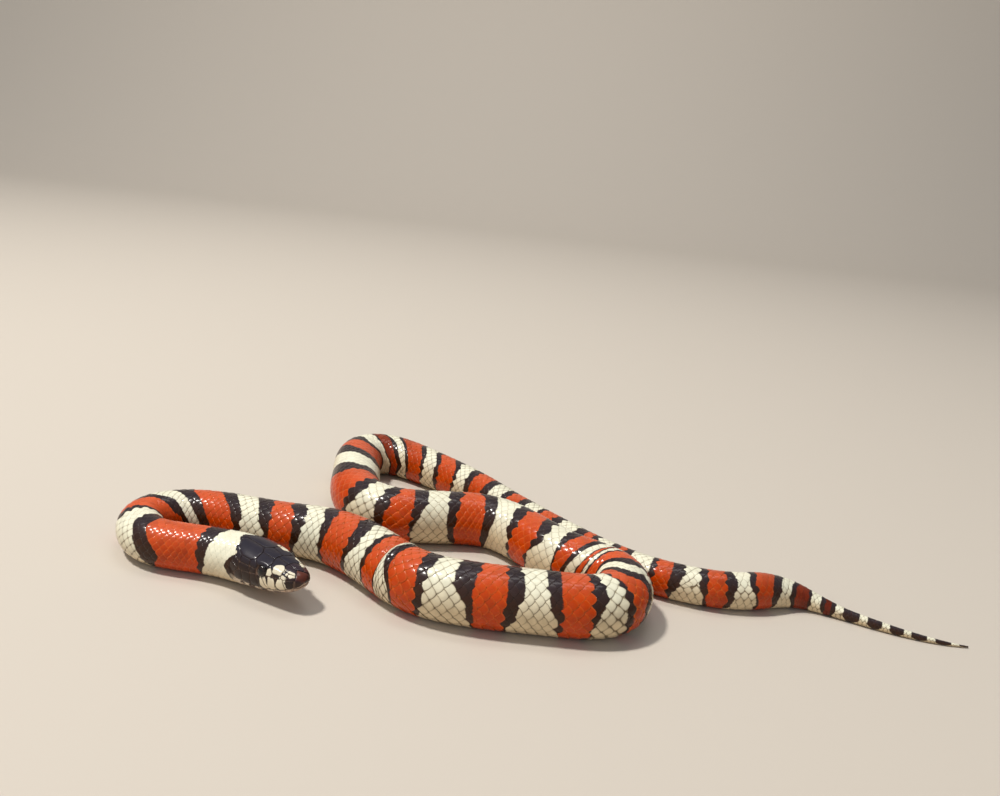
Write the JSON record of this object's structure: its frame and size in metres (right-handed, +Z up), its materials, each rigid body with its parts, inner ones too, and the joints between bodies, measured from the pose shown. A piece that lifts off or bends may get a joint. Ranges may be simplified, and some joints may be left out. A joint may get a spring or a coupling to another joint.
{
  "type": "milk snake",
  "caption": "Life-size still model of a milk snake lying in loose bends, ringed in red, black and cream, with a mottled black head.",
  "frame": {"origin": "on the ground the belly rests on, under the middle of the whole outline", "axes": "+Z up from the ground, +X along the longest side of the outline towards the tail, the camera of the picture looks roughly along +Y"},
  "size_m": [0.2023, 0.096, 0.0138],
  "materials": {
    "head_skin": "gloss",
    "body_skin": "gloss",
    "eye": "gloss"
  },
  "bodies": {
    "root": {"head": "head_skin", "left_eye": "eye", "right_eye": "eye", "neck": "body_skin", "trunk_1": "body_skin", "trunk_2": "body_skin", "trunk_3": "body_skin", "trunk_4": "body_skin", "trunk_5": "body_skin", "trunk_6": "body_skin", "trunk_7": "body_skin", "trunk_8": "body_skin", "trunk_9": "body_skin", "tail_1": "body_skin", "tail_2": "body_skin"}
  },
  "joints": []
}
